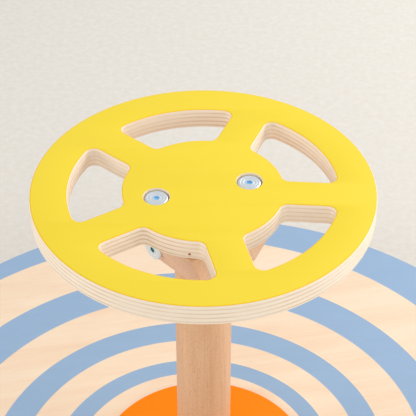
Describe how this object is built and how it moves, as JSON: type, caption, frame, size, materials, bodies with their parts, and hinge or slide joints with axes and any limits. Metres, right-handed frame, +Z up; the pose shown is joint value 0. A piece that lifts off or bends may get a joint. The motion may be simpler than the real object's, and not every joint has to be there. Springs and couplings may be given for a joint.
{
  "type": "merry-go-round",
  "caption": "Indoor merry-go-round: a round plywood platform turns on a ball bearing round a fixed post with a windowed hand wheel.",
  "frame": {"origin": "on the floor, under the axis of the post", "axes": "+Z up along the post; -Y towards the viewer of the reference view; +X to that viewer's right"},
  "size_m": [0.8, 0.8, 0.4337],
  "materials": {
    "wheel": "smooth yellow laminate face over bare birch plywood edges",
    "platform": "clear-lacquered birch plywood with a light blue spiral printed on top",
    "base": "sealed birch plywood",
    "beech": "turned and sanded beech, clear satin lacquer",
    "cover": "satin orange",
    "zinc": "bright zinc plate",
    "steel": "ground bearing steel",
    "feet": "matt black rubber",
    "nylon": "natural nylon"
  },
  "bodies": {
    "base": {"barrel_nut_1": "zinc", "barrel_nut_2": "zinc", "base_board": "base", "dowel_1": "beech", "dowel_2": "beech", "foot_1": "feet", "foot_2": "feet", "foot_3": "feet", "foot_4": "feet", "foot_5": "feet", "foot_6": "feet", "foot_screw_1": "zinc", "foot_screw_2": "zinc", "foot_screw_3": "zinc", "foot_screw_4": "zinc", "foot_screw_5": "zinc", "foot_screw_6": "zinc", "hand_wheel": "wheel", "head_block": "beech", "lower_race": "steel", "lower_race_screw_1": "zinc", "lower_race_screw_2": "zinc", "lower_race_screw_3": "zinc", "lower_race_screw_4": "zinc", "post": "beech", "post_socket": "steel", "socket_screw_1": "zinc", "socket_screw_2": "zinc", "socket_screw_3": "zinc", "socket_screw_4": "zinc", "tie_nut_lower": "zinc", "tie_nut_upper": "zinc", "tie_rod": "zinc", "tie_washer_lower": "zinc", "tie_washer_upper": "zinc", "wheel_bolt_1": "zinc", "wheel_bolt_2": "zinc"},
    "platform": {"platform": "platform", "centre_cover": "cover", "upper_race": "steel", "cover_screw_1": "zinc", "cover_screw_2": "zinc", "cover_screw_3": "zinc", "cover_screw_4": "zinc", "upper_race_screw_1": "zinc", "upper_race_screw_2": "zinc", "upper_race_screw_3": "zinc", "upper_race_screw_4": "zinc"},
    "bearing_cage": {"ball_cage": "nylon", "ball_1": "steel", "ball_10": "steel", "ball_2": "steel", "ball_3": "steel", "ball_4": "steel", "ball_5": "steel", "ball_6": "steel", "ball_7": "steel", "ball_8": "steel", "ball_9": "steel"}
  },
  "joints": [
    {"name": "platform_spin", "type": "hinge", "parent": "base", "child": "platform", "pos_m": [0, 0, 0.041], "axis": [0, 0, 1], "continuous": true},
    {"name": "cage_spin", "type": "hinge", "parent": "base", "child": "bearing_cage", "pos_m": [0, 0, 0.041], "axis": [0, 0, 1], "continuous": true}
  ],
  "couplings": [
    {"joint": "cage_spin", "follows": "platform_spin", "ratio": 0.5}
  ]
}
